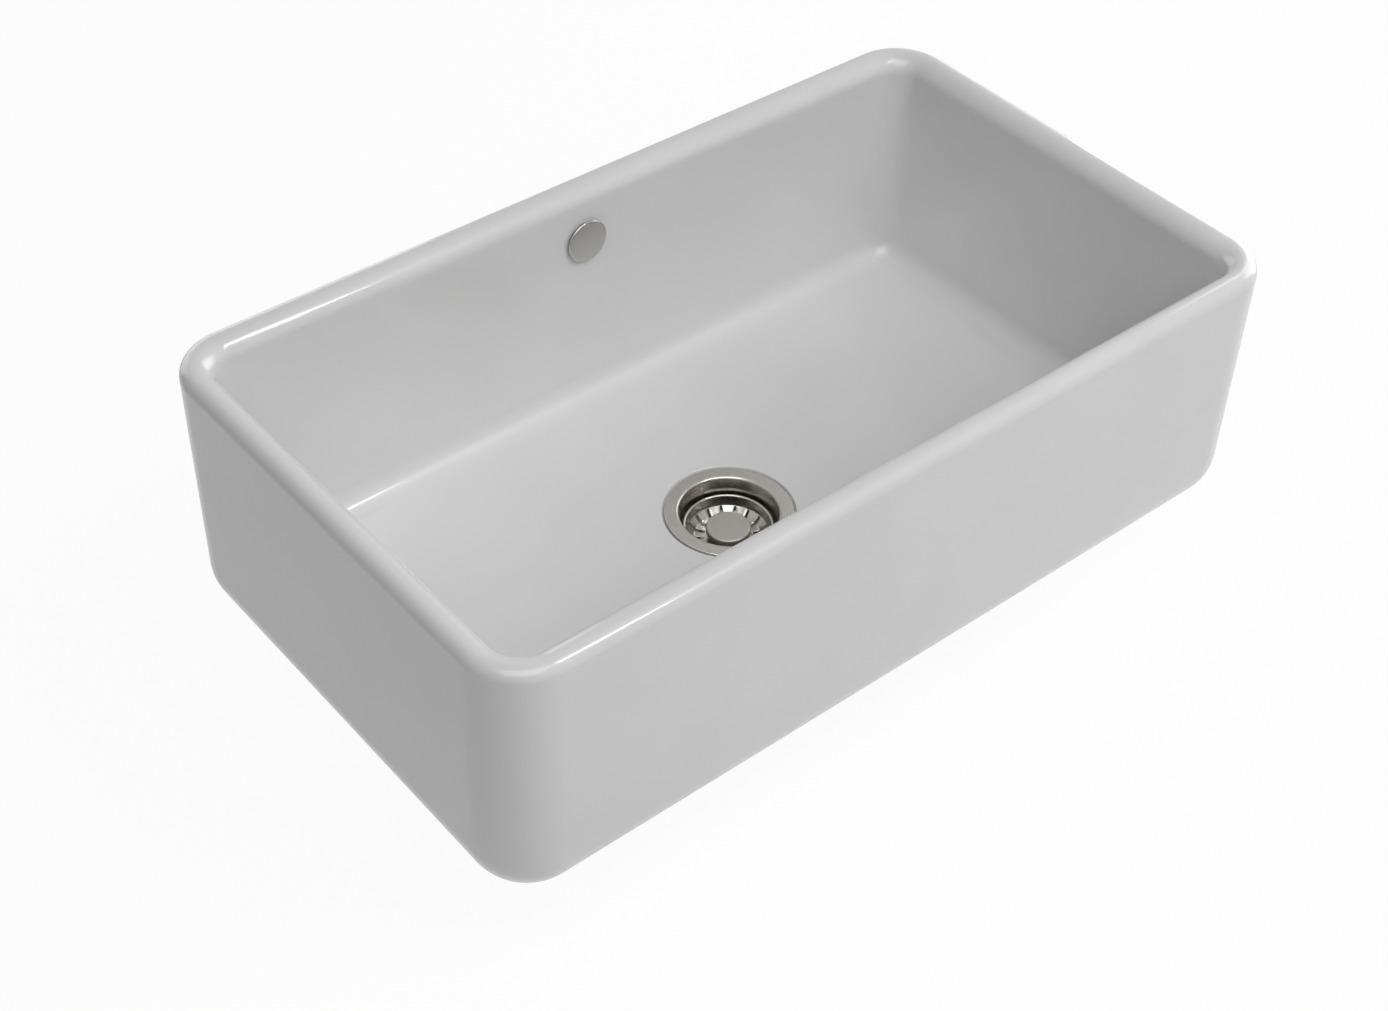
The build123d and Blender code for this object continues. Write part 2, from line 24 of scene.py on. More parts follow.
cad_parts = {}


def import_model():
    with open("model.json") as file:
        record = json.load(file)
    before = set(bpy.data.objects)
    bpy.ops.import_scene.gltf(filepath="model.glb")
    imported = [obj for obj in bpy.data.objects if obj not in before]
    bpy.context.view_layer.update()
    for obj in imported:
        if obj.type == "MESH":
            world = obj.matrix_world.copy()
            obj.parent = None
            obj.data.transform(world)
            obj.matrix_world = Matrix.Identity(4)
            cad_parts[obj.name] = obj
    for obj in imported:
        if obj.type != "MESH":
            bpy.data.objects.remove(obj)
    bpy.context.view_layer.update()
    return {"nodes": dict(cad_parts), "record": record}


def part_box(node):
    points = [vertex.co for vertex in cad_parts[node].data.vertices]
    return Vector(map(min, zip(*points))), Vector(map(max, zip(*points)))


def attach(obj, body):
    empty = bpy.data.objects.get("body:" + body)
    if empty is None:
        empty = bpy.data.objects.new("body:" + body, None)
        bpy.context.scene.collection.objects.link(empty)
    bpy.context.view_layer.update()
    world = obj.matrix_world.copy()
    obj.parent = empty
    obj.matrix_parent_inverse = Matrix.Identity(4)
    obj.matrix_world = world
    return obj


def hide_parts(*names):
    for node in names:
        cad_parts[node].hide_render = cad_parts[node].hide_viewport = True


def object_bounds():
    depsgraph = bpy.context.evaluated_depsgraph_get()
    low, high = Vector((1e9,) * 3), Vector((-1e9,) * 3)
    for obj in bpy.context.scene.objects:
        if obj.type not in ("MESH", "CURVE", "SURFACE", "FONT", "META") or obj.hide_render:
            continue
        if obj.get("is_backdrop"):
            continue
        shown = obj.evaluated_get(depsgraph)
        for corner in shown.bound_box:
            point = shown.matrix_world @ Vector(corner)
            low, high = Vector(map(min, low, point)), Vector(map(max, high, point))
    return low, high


log = logging.getLogger("sink")

Colour = tuple[float, float, float]
WHITE = (1.0, 1.0, 1.0, 1.0)
UP = Vector((0, 0, 1))
LONG = Vector((1, 0, 0))  # along the sink
BACK = Vector((0, 1, 0))  # out through its back wall
TINY = 1e-6


class Axis(Enum):
    """The axis that a round piece was turned or brushed about: the waste's or the overflow's.

    Each holds the way along the axis and the two ways across it.
    """

    WASTE = (UP, LONG, BACK)
    OVERFLOW = (BACK, LONG, UP)

    def angle(self, offset: Vector) -> float:
        """Angle of an offset round the axis, from 0 at +X up to a full turn."""
        _, first, second = self.value
        return (atan2(offset.dot(second), offset.dot(first)) + TINY) % (2 * pi)

    def point(self, ring: Ring, angle: float) -> Vector:
        """Point of a ring at an angle."""
        along, first, second = self.value
        return along * ring.depth + (first * cos(angle) + second * sin(angle)) * ring.radius


# ---------------- shader nodes
SMOOTH = {"interpolation_type": "SMOOTHSTEP", "clamp": True}
MIXED = {"data_type": "RGBA", "blend_type": "MIX"}


class Sock:
    """A shader socket that takes part in Python arithmetic, one Math node for each operation."""

    def __init__(self, graph: Graph, socket: NodeSocket) -> None:
        """Keeps the socket and the graph that it belongs to."""
        self.graph = graph
        self.socket = socket

    def maths(self, operation: str, *values: Sock | float) -> Sock:
        """The result of a new Math node, from its operation and its values in order."""
        return self.graph.node("ShaderNodeMath", {"operation": operation}, dict(enumerate(values)))

    def __add__(self, other: Sock | float) -> Sock:
        """self + other."""
        return self.maths("ADD", self, other)

    def __sub__(self, other: Sock | float) -> Sock:
        """self - other."""
        return self.maths("SUBTRACT", self, other)

    def __rsub__(self, other: float) -> Sock:
        """other - self."""
        return self.maths("SUBTRACT", other, self)

    def __mul__(self, other: Sock | float) -> Sock:
        """self * other."""
        return self.maths("MULTIPLY", self, other)

    def __pow__(self, other: float) -> Sock:
        """self ** other."""
        return self.maths("POWER", self, other)

    __radd__ = __add__
    __rmul__ = __mul__

    def most(self, other: Sock | float) -> Sock:
        """The larger of the two."""
        return self.maths("MAXIMUM", self, other)

    def ramp(self, low: float, high: float) -> Sock:
        """Goes smoothly from 0 at low to 1 at high."""
        inputs = {"Value": self, "From Min": low, "From Max": high}
        return self.graph.node("ShaderNodeMapRange", SMOOTH, inputs)


class Graph:
    """A node tree that is built by calls of one method."""

    def __init__(self, tree: NodeTree) -> None:
        """Empties the tree."""
        self.tree = tree
        tree.nodes.clear()

    def node(
        self,
        kind: str,
        settings: dict | None = None,
        inputs: dict | None = None,
        output: str | int = 0,
    ) -> Sock:
        """Adds a node.

        Args:
            kind: the node's type.
            settings: its properties.
            inputs: values or sockets by the input's name or number.
            output: which output is wanted.

        Returns:
            That output, or the first input of a node that has no output.
        """
        node = self.tree.nodes.new(kind)
        for name, value in (settings or {}).items():
            setattr(node, name, value)
        for name, value in (inputs or {}).items():
            self.feed(node.inputs[name], value)
        return Sock(self, node.outputs[output] if node.outputs else node.inputs[0])

    def feed(self, socket: NodeSocket, value: Sock | float | tuple) -> None:
        """Sets or links an input.

        Args:
            socket: the input.
            value: its value, or the socket that feeds it.
        """
        if isinstance(value, Sock):
            self.tree.links.new(value.socket, socket)
        else:
            socket.default_value = value


@dataclass(frozen=True)
class Gloss:
    """The numbers of a shader that are the same all over a surface."""

    roughness: float
    metallic: float = 0.0
    ior: float = 1.5
    coat: float = 0.0
    coat_roughness: float = 0.05


class Finish:
    """A procedural material: its base shader, and the patterns and the bump that feed it."""

    def __init__(self, name: str, colour: Colour, gloss: Gloss) -> None:
        """Makes the material.

        Args:
            name: the material's name.
            colour: its linear colour.
            gloss: its shader's plain numbers.
        """
        self.material = bpy.data.materials.new(name)
        self.material.use_nodes = True
        self.graph = Graph(self.material.node_tree)
        self.shader = self.graph.tree.nodes.new("ShaderNodeBsdfPrincipled")
        self.where = self.graph.node("ShaderNodeTexCoord", output="Object")
        self.set("Base Color", (*colour, 1.0))
        self.set("Roughness", gloss.roughness)
        self.set("Metallic", gloss.metallic)
        self.set("IOR", gloss.ior)
        self.set("Coat Weight", gloss.coat)
        self.set("Coat Roughness", gloss.coat_roughness)
        surface = Sock(self.graph, self.shader.outputs[0])
        self.graph.node("ShaderNodeOutputMaterial", inputs={"Surface": surface})

    def set(self, name: str, value: Sock | float | tuple) -> None:
        """Sets or links one input of the base shader."""
        self.graph.feed(self.shader.inputs[name], value)

    def axes(self) -> tuple[Sock, ...]:
        """The three Object coordinates, in metres."""
        split = self.graph.node("ShaderNodeSeparateXYZ", inputs={"Vector": self.where})
        return tuple(Sock(self.graph, output) for output in split.socket.node.outputs)

    def noise(
        self, scale: float, detail: float = 2.0, roughness: float = 0.5, over: Sock | None = None
    ) -> Sock:
        """Noise from 0 to 1, over the Object coordinates or another vector."""
        plain = {"Scale": scale, "Detail": detail, "Roughness": roughness}
        return self.graph.node("ShaderNodeTexNoise", inputs={"Vector": over or self.where, **plain})

    def spots(self, scale: float) -> Sock:
        """Distance to the nearest of many scattered points, in cells."""
        inputs = {"Vector": self.where, "Scale": scale}
        return self.graph.node("ShaderNodeTexVoronoi", {"feature": "F1"}, inputs)

    def blend(self, mask: Sock, first: Colour | Sock, second: Colour | Sock) -> Sock:
        """A colour that goes from the first to the second as the mask goes from 0 to 1."""
        inputs = {0: mask, 6: self.rgba(first), 7: self.rgba(second)}
        return self.graph.node("ShaderNodeMix", MIXED, inputs, output=2)

    @staticmethod
    def rgba(colour: Colour | Sock) -> tuple | Sock:
        """A colour as a socket takes it."""
        return colour if isinstance(colour, Sock) else (*colour, 1.0)

    def bump(self, height: Sock, depth: float) -> None:
        """Feeds the normal with a pattern from about 0 to 1, which at 1 stands a depth high."""
        inputs = {"Height": height, "Distance": depth, "Strength": 1.0}
        self.set("Normal", self.graph.node("ShaderNodeBump", inputs=inputs))


def shade(colour: Colour, factor: float) -> Colour:
    """A colour made lighter or darker by a factor."""
    return tuple(min(1.0, part * factor) for part in colour)


# ---------------- finishes
MIDDLE = (0.3, 0.7)  # the part of a noise in which most of its values lie


@dataclass(frozen=True)
class GlazedClay:
    """White glaze over fired clay, with bare clay on the ground underside."""

    glaze: Colour = (0.75, 0.75, 0.75)
    clay: Colour = (0.60, 0.55, 0.47)
    body: float = 0.28  # roughness of the clay body as it shows through the glaze
    bare: float = 0.6  # how much rougher it is where it is bare
    coat: float = 0.7
    coat_roughness: float = 0.03
    pooling_scale: float = 9.0  # of the patches where the glaze ran thick or thin
    pooling_roughness: float = 0.04
    speck_scale: float = 90.0
    speck_patches: float = 23.0  # scale of the few patches that have specks
    speck_tint: float = 0.35
    grit_scale: float = 900.0
    grit_depth: float = 0.8  # as a share of the ripple
    foot: float = 0.0007  # height up to which the underside has no glaze
    foot_scale: float = 60.0  # of the waves in the glaze's edge there
    ripple: float = 0.00006  # depth of the glaze's long waves
    ripple_scale: float = 16.0

    def make(self) -> Material:
        """Builds the glaze and the clay.

        Returns:
            The finished material.
        """
        gloss = Gloss(self.body, coat=self.coat, coat_roughness=self.coat_roughness)
        finish = Finish("fireclay_glaze", self.glaze, gloss)
        height = finish.axes()[2]
        pooling = finish.noise(self.pooling_scale, detail=3.0)
        thin, thick = shade(self.glaze, 0.985), shade(self.glaze, 1.012)
        glaze = finish.blend(pooling.ramp(*MIDDLE), thin, thick)
        specks = finish.spots(self.speck_scale).ramp(0.035, 0.02)
        rare = finish.noise(self.speck_patches).ramp(0.62, 0.66)
        glaze = finish.blend(specks * rare * self.speck_tint, glaze, shade(self.glaze, 0.45))
        grit = finish.noise(self.grit_scale, detail=3.0)
        clay = finish.blend(grit.ramp(*MIDDLE), shade(self.clay, 0.82), shade(self.clay, 1.1))
        edge = finish.noise(self.foot_scale) * self.foot * 2
        bare = (height - edge).ramp(self.foot, self.foot * 0.3)
        finish.set("Base Color", finish.blend(bare, glaze, clay))
        finish.set("Roughness", bare * self.bare + self.body + pooling * self.pooling_roughness)
        finish.set("Coat Weight", (1.0 - bare) * self.coat)
        waves = finish.noise(self.ripple_scale, detail=1.0)
        finish.bump(waves * (1.0 - bare) + bare * grit * self.grit_depth, self.ripple)
        return finish.material


@dataclass(frozen=True)
class BrushedMetal:
    """Metal brushed round its axis, with fine lines that run round the piece."""

    name: str
    colour: Colour
    roughness: float
    about: Axis = Axis.WASTE
    centre: float = 0.0  # height of the overflow's axis
    lines: float = 2600.0  # lines in a metre
    line_roughness: float = 0.12
    handling_scale: float = 70.0
    handling_roughness: float = 0.10
    depth: float = 0.000004
    painted_shade_under: float = -1.0  # height under which the metal is painted darker as painted shade; -1 paints none
    painted_shade_edge: float = 0.0004  # half the height over which the painted shade fades in

    def make(self) -> Material:
        """Builds the brushed lines, the traces of handling and the painted shade below a height.

        Returns:
            The finished material.
        """
        finish = Finish(self.name, self.colour, Gloss(self.roughness, metallic=1.0))
        x, y, z = finish.axes()
        across, along = (y, z) if self.about is Axis.WASTE else (z - self.centre, y)
        radius = (x * x + across * across) ** 0.5
        spread = {"X": radius * self.lines, "Y": along * self.lines}
        over = finish.graph.node("ShaderNodeCombineXYZ", inputs=spread)
        lines = finish.noise(1.0, detail=3.0, roughness=0.65, over=over)
        handling = finish.noise(self.handling_scale, detail=4.0)
        dark, light = shade(self.colour, 0.93), shade(self.colour, 1.05)
        colour = finish.blend(lines.ramp(0.25, 0.75), dark, light)
        colour = finish.blend(handling.ramp(0.45, 0.8) * 0.3, colour, shade(self.colour, 0.86))
        # painted shade: below the height the colour is darkened, standing in for the shade under
        # the knob's rim
        painted_shade = z.ramp(self.painted_shade_under + self.painted_shade_edge, self.painted_shade_under - self.painted_shade_edge)
        finish.set("Base Color", finish.blend(painted_shade, colour, shade(self.colour, 0.3)))
        plain = self.roughness - (self.line_roughness + self.handling_roughness) / 2
        rough = lines * self.line_roughness + handling * self.handling_roughness
        finish.set("Roughness", rough + plain)
        finish.bump(lines, self.depth)
        return finish.material


@dataclass(frozen=True)
class Moulded:
    """Plastic, rubber or foam with the fine grain of its mould or of its cells."""

    name: str
    colour: Colour
    roughness: float
    grain: float = 1400.0  # grains in a metre
    grain_roughness: float = 0.08  # of the grain, and of the streaks as well
    streaks: float = 35.0  # scale of the streaks in which it ran into its mould
    depth: float = 0.00002
    spread: float = 0.08  # how much lighter or darker grain and streaks make it
    cells: bool = False

    def make(self) -> Material:
        """Builds the grain and the streaks.

        Returns:
            The finished material.
        """
        finish = Finish(self.name, self.colour, Gloss(self.roughness, ior=1.46))
        grain = finish.spots(self.grain) if self.cells else finish.noise(self.grain)
        streaks = finish.noise(self.streaks, detail=3.0)
        dark, light = shade(self.colour, 1.0 - self.spread), shade(self.colour, 1.0 + self.spread)
        mask = (grain * 0.4 + streaks * 0.6).ramp(*MIDDLE)
        finish.set("Base Color", finish.blend(mask, dark, light))
        rough = grain * self.grain_roughness + streaks * self.grain_roughness
        finish.set("Roughness", rough + (self.roughness - self.grain_roughness))
        finish.bump(grain, self.depth)
        return finish.material


# ---------------- mesh helpers
@dataclass(frozen=True)
class Ring:
    """A circle about an axis: its radius and the place of its middle along that axis."""

    radius: float
    depth: float


def open_edges(faces: Iterable[BMFace]) -> list[BMEdge]:
    """Finds the edges round a group of faces.

    Args:
        faces: the group.

    Returns:
        The edges that only one of these faces has.
    """
    group = set(faces)
    edges = {edge: None for face in faces for edge in face.edges}
    return [edge for edge in edges if len(group.intersection(edge.link_faces)) == 1]


def faces_where(faces: Iterable[BMFace], test: Callable[[Vector], bool]) -> list[BMFace]:
    """The faces whose middle passes a test."""
    return [face for face in faces if test(face.calc_center_median())]


def ends_of(edges: Iterable[BMEdge]) -> list[BMVert]:
    """The points of a group of edges, each once."""
    return list({vert: None for edge in edges for vert in edge.verts})


def roll(mesh: BMesh, parts: Iterable, reach: float, segments: int, corners: bool = False) -> None:
    """Rounds edges, or the corners of an outline.

    Args:
        mesh: the mesh.
        parts: the edges or the corners.
        reach: how far from them the roll starts.
        segments: how many parts it has.
        corners: whether these are corners.
    """
    bmesh.ops.bevel(
        mesh,
        geom=list(parts),
        offset=reach,
        offset_type="OFFSET",
        segments=segments,
        profile=0.5,
        affect="VERTICES" if corners else "EDGES",
        clamp_overlap=False,
        material=-1,
    )


def spin(mesh: BMesh, parts: list, angle: float, steps: int, **ways: object) -> None:
    """Spins parts of a mesh about Z, with any other settings of the operator."""
    ways = {"cent": (0, 0, 0), "axis": (0, 0, 1), "dvec": (0, 0, 0), **ways}
    bmesh.ops.spin(mesh, geom=parts, angle=angle, steps=steps, **ways)


def extrude(mesh: BMesh, edges: list[BMEdge]) -> list[BMEdge]:
    """Extrudes a loop of edges where it lies, and gives the new loop."""
    made = bmesh.ops.extrude_edge_only(mesh, edges=edges)["geom"]
    return [part for part in made if isinstance(part, BMEdge)]


def run_to(
    mesh: BMesh, edges: list[BMEdge], axis: Axis, centre: Vector, *rings: Ring
) -> list[BMEdge]:
    """Runs a closed loop of edges on to one ring after another.

    Args:
        mesh: the mesh.
        edges: the loop to start from.
        axis: the axis of the rings.
        centre: the middle of a ring at depth 0.
        rings: the rings in order.

    Returns:
        The last ring's edges.
    """
    for ring in rings:
        edges = extrude(mesh, edges)
        verts = sorted(ends_of(edges), key=lambda vert: axis.angle(vert.co - centre))
        for step, vert in enumerate(verts):
            vert.co = centre + axis.point(ring, 2 * pi * step / len(verts))
    return edges


def cut_lines(
    mesh: BMesh, faces: list[BMFace], way: Vector, places: Iterable[float]
) -> list[BMFace]:
    """Cuts a group of faces by parallel planes.

    Args:
        mesh: the mesh.
        faces: the faces to cut.
        way: the planes' normal.
        places: how far each plane lies along it.

    Returns:
        The group's faces after the cuts.
    """
    for place in places:
        parts = list({part: None for face in faces for part in (*face.verts, *face.edges, face)})
        plane = {"plane_co": way * place, "plane_no": way}
        cut = bmesh.ops.bisect_plane(mesh, geom=parts, dist=TINY, **plane)
        faces = [part for part in cut["geom"] if isinstance(part, BMFace)]
    return faces


def thicken(mesh: BMesh, sheet: float) -> None:
    """Gives a pressed surface the thickness of its sheet, on the side that is turned down or out.

    Args:
        mesh: the surface, whose highest faces look up.
        sheet: the thickness.
    """
    bmesh.ops.recalc_face_normals(mesh, faces=mesh.faces[:])
    top = max(mesh.faces, key=lambda face: face.calc_center_median().z)
    if top.normal.z < 0:
        bmesh.ops.reverse_faces(mesh, faces=mesh.faces[:])
    bmesh.ops.solidify(mesh, geom=mesh.faces[:], thickness=sheet)


def placed(name: str, data: ID) -> Object:
    """Puts a new mesh, light or camera into the scene.

    Args:
        name: the object's name.
        data: what it shows.

    Returns:
        The object, at the origin.
    """
    made = bpy.data.objects.new(name, data)
    bpy.context.scene.collection.objects.link(made)
    return made


def as_object(mesh: BMesh, name: str, material: Material) -> Object:
    """Turns a mesh into an object.

    Args:
        mesh: the mesh, which is used up.
        name: the object's name.
        material: its finish.

    Returns:
        The object.
    """
    data = bpy.data.meshes.new(name)
    mesh.to_mesh(data)
    mesh.free()
    data.materials.append(material)
    return placed(name, data)


def finished(
    mesh: BMesh, name: str, finish: Material, body: str, slot: str, *nodes: str, even: bool = True
) -> Object:
    """Turns a mesh into a smooth piece on its body.

    Args:
        mesh: the mesh, which is used up.
        name: the piece's name.
        finish: its material.
        body: the body that it rides on.
        slot: the name of its material slot, which is not used.
        nodes: the nodes that it stands for.
        even: whether the flat faces beside its rolls are kept flat.

    Returns:
        The piece.
    """
    bmesh.ops.recalc_face_normals(mesh, faces=mesh.faces[:])
    for face in mesh.faces:
        face.smooth = True
    piece = as_object(mesh, name, finish)
    if even:
        modifier = piece.modifiers.new("even_shading", "WEIGHTED_NORMAL")
        modifier.weight = 100  # the largest faces alone
    if nodes:
        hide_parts(*nodes)
    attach(piece, body)
    log.info("%s rides on %s with %d faces", piece.name, body, len(piece.data.polygons))
    return piece


@dataclass(frozen=True)
class Bend:
    """A corner of an outline: its distance from the axis, its height and how it is rounded."""

    radius: float
    height: float
    roll: float = 0.0
    parts: int = 6


class Outline:
    """The half section of a piece, with its corners rounded."""

    def __init__(self, *bends: Bend, closed: bool = False) -> None:
        """Draws the outline.

        Args:
            bends: its corners in order.
            closed: whether the last corner joins the first.
        """
        self.mesh = bmesh.new()
        verts = [self.mesh.verts.new((bend.radius, 0, bend.height)) for bend in bends]
        ends = verts[1:] + verts[:1] if closed else verts[1:]
        for start, end in zip(verts, ends):
            self.mesh.edges.new((start, end))
        for bend, vert in zip(bends, verts):
            if bend.roll:
                self.soften(vert, bend)
        self.start = verts[0]

    def soften(self, vert: BMVert, bend: Bend) -> None:
        """Rounds one corner.

        Args:
            vert: the corner.
            bend: its radius and parts.
        """
        first, second = (edge.other_vert(vert).co - vert.co for edge in vert.link_edges)
        reach = bend.roll / tan(first.angle(second) / 2)
        roll(self.mesh, [vert], reach, bend.parts, corners=True)

    def points(self) -> list[tuple[float, float]]:
        """Reads off an open outline, which is used up.

        Returns:
            Its points in order, each a distance and a height.
        """
        path, edge = [self.start], self.start.link_edges[0]
        while edge:
            path.append(edge.other_vert(path[-1]))
            edge = next((other for other in path[-1].link_edges if other is not edge), None)
        points = [(vert.co.x, vert.co.z) for vert in path]
        self.mesh.free()
        return points

    def turned(self, steps: int = 120) -> BMesh:
        """Spins the outline about Z.

        Args:
            steps: how many parts the full turn has.

        Returns:
            The surface, in the mesh that the outline had.
        """
        mesh = self.mesh
        parts = mesh.verts[:] + mesh.edges[:]
        spin(mesh, parts, 2 * pi, steps, use_merge=True, use_duplicate=False)
        bmesh.ops.remove_doubles(mesh, verts=mesh.verts[:], dist=TINY)
        return mesh


# ---------------- the basin
@dataclass
class FireclayBasin:
    """The one-piece basin: rolled rim, falls to the waste, flange recess and overflow hole."""

    finish: Material
    node: str = "basin"
    wall: float = 0.027
    floor_edge: float = 0.031  # height of the floor at the walls
    floor_waste: float = 0.028  # and beside the waste
    corner: float = 0.051
    bottom_roll: float = 0.047
    rim_outer_roll: float = 0.0098
    rim_inner_roll: float = 0.0168
    floor_roll: float = 0.020
    spare: float = 0.0005  # straight length past the last roll at each end of the section
    lean: float = tan(radians(0.25))  # how far the cavity's walls lean in, for each metre down
    land: float = 0.0615  # radius of the level band round the waste
    recess: Ring = Ring(0.0585, 0.0248)
    waste_hole: float = 0.045
    ground: float = 0.0005  # depth to which the clay is ground flat under the gaskets
    under_ring: float = 0.060
    rear_ring: float = 0.027
    overflow_hole: float = 0.015
    overflow_drop: float = 0.050
    patch: float = 0.031  # half the side of the wall's patch round the overflow
    glaze_edge: float = 0.0012
    glaze_parts: int = 4
    corner_parts: int = 24
    side_parts: tuple[int, int] = (36, 18)
    fall_parts: int = 14
    patch_parts: int = 16
    low: Vector = field(init=False)
    high: Vector = field(init=False)

    def __post_init__(self) -> None:
        """Takes the overall size from the frame."""
        self.low, self.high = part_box(self.node)

    def build(self) -> Object:
        """Models the basin.

        Returns:
            The piece.
        """
        mesh = bmesh.new()
        foot = self.plan(mesh)
        floor = self.sweep(mesh, foot)
        self.cut_waste(mesh, floor, foot)
        self.cut_overflow(mesh)
        bmesh.ops.remove_doubles(mesh, verts=mesh.verts[:], dist=TINY)
        return finished(mesh, "glazed_basin", self.finish, "root", "fireclay_glaze", self.node)

    def plan(self, mesh: BMesh) -> list[BMEdge]:
        """Draws the outside of the basin seen from above.

        Args:
            mesh: an empty mesh.

        Returns:
            Its edges, the straight sides divided evenly.
        """
        bmesh.ops.create_grid(mesh, x_segments=1, y_segments=1, size=0.5)
        bmesh.ops.scale(mesh, vec=self.high - self.low, verts=mesh.verts[:])
        roll(mesh, mesh.verts, self.corner, self.corner_parts, corners=True)
        bmesh.ops.delete(mesh, geom=mesh.faces[:], context="FACES_ONLY")
        for way, parts in enumerate(self.side_parts):
            sides = [edge for edge in mesh.edges if self.reach(edge, way) > self.corner]
            bmesh.ops.subdivide_edges(mesh, edges=sides, cuts=parts - 1)
        return mesh.edges[:]

    @staticmethod
    def reach(edge: BMEdge, way: int) -> float:
        """How far an edge goes along X or Y."""
        start, end = edge.verts
        return abs(end.co[way] - start.co[way])

    def sweep(self, mesh: BMesh, foot: list[BMEdge]) -> list[BMEdge]:
        """Carries the section of the wall round the plan, from its foot over the rim to the floor.

        Args:
            mesh: the mesh, which holds the plan.
            foot: the plan's edges, which become the edge of the underside.

        Returns:
            The edge of the floor.
        """
        leant = self.wall + self.lean * (self.high.z - self.floor_edge)
        section = Outline(
            Bend(self.bottom_roll + self.spare, self.low.z),
            Bend(0, self.low.z, self.bottom_roll, parts=20),
            Bend(0, self.high.z, self.rim_outer_roll, parts=10),
            Bend(self.wall, self.high.z, self.rim_inner_roll, parts=14),
            Bend(leant, self.floor_edge, self.floor_roll, parts=12),
            Bend(leant + self.floor_roll + self.spare, self.floor_edge),
        ).points()
        edges = foot
        self.set_in(edges, *section[0])
        for inset, height in section[1:]:
            edges = extrude(mesh, edges)
            self.set_in(edges, inset, height)
        return edges

    def set_in(self, edges: list[BMEdge], inset: float, height: float) -> None:
        """Moves a loop.

        Args:
            edges: the loop.
            inset: how far inside the plan it goes.
            height: its new height.
        """
        core = self.high.xy - Vector((self.corner, self.corner))
        for vert in ends_of(edges):
            x, y = vert.co.xy
            middle = Vector((max(-core.x, min(core.x, x)), max(-core.y, min(core.y, y))))
            at = middle + (vert.co.xy - middle).normalized() * (self.corner - inset)
            vert.co = (*at, height)

    def cut_waste(self, mesh: BMesh, floor: list[BMEdge], foot: list[BMEdge]) -> None:
        """Runs the floor down to the waste, and on through recess and hole to the underside.

        Args:
            mesh: the mesh.
            floor: the edge of the floor.
            foot: the edge of the underside.
        """
        middle = Vector()
        land = run_to(mesh, floor, Axis.WASTE, middle, Ring(self.land, self.floor_waste))
        rings = {*floor, *land}
        ends = {*ends_of(floor), *ends_of(land)}
        falls = [edge for edge in mesh.edges if edge not in rings and ends.issuperset(edge.verts)]
        bmesh.ops.subdivide_edges(mesh, edges=falls, cuts=self.fall_parts, use_grid_fill=True)
        free = [edge for edge in mesh.edges if edge.is_boundary]
        land = [edge for edge in free if self.is_ring(edge, self.land, self.floor_waste)]
        lip = run_to(mesh, land, Axis.WASTE, middle, Ring(self.recess.radius, self.floor_waste))
        below = (
            self.recess,
            Ring(self.waste_hole, self.recess.depth),
            Ring(self.waste_hole, self.ground),
            Ring(self.under_ring, self.ground),
            Ring(self.under_ring, self.low.z),
        )
        run_to(mesh, lip, Axis.WASTE, middle, *below)
        run_to(mesh, foot, Axis.WASTE, middle, below[-1])
        roll(mesh, lip, self.glaze_edge, self.glaze_parts)

    @staticmethod
    def is_ring(edge: BMEdge, radius: float, height: float) -> bool:
        """Whether an edge lies on a ring about the waste."""
        points = [vert.co for vert in edge.verts]
        return all(abs(at.xy.length - radius) < TINY and abs(at.z - height) < TINY for at in points)

    def wall_face(self, height: float) -> float:
        """Y of the back wall's inner face at a height."""
        return self.high.y - self.wall - self.lean * (self.high.z - height)

    def cut_overflow(self, mesh: BMesh) -> None:
        """Cuts the overflow's hole through the back wall, with the ground ring behind it.

        Args:
            mesh: the mesh.
        """
        centre = Vector((0, 0, self.high.z - self.overflow_drop))
        front = self.open_patch(mesh, centre.z, self.wall_face)
        back = self.open_patch(mesh, centre.z, lambda height: self.high.y)
        hole = Ring(self.overflow_hole, self.wall_face(centre.z))
        mouth = run_to(mesh, front, Axis.OVERFLOW, centre, hole)
        for vert in ends_of(mouth):
            vert.co.y = self.wall_face(vert.co.z)
        ground = self.high.y - self.ground
        rings = (
            Ring(self.overflow_hole, ground),
            Ring(self.rear_ring, ground),
            Ring(self.rear_ring, self.high.y),
        )
        run_to(mesh, mouth, Axis.OVERFLOW, centre, *rings)
        run_to(mesh, back, Axis.OVERFLOW, centre, rings[-1])
        roll(mesh, mouth, self.glaze_edge, self.glaze_parts)

    def open_patch(
        self, mesh: BMesh, height: float, face_at: Callable[[float], float]
    ) -> list[BMEdge]:
        """Takes a square patch out of one of the back wall's two faces.

        Args:
            mesh: the mesh.
            height: height of the patch's middle.
            face_at: Y of that face of the wall at a height.

        Returns:
            The edges round the patch, divided evenly.
        """
        faces = []
        for face in mesh.faces:
            points = [vert.co for vert in face.verts]
            in_wall = all(abs(at.y - face_at(at.z)) < TINY for at in points)
            tall = any(abs(at.z - height) > self.patch for at in points)
            if in_wall and tall and abs(face.calc_center_median().x) < 2 * self.patch:
                faces.append(face)
        faces = cut_lines(mesh, faces, LONG, (-self.patch, self.patch))
        faces = cut_lines(mesh, faces, UP, (height - self.patch, height + self.patch))
        inside = faces_where(faces, lambda at: max(abs(at.x), abs(at.z - height)) < self.patch)
        for edge in open_edges(inside):
            parts = round(self.patch_parts * edge.calc_length() / (2 * self.patch))
            if parts > 1:
                bmesh.ops.subdivide_edges(mesh, edges=[edge], cuts=parts - 1)
        edges = open_edges(inside)
        bmesh.ops.delete(mesh, geom=inside, context="FACES")
        return edges


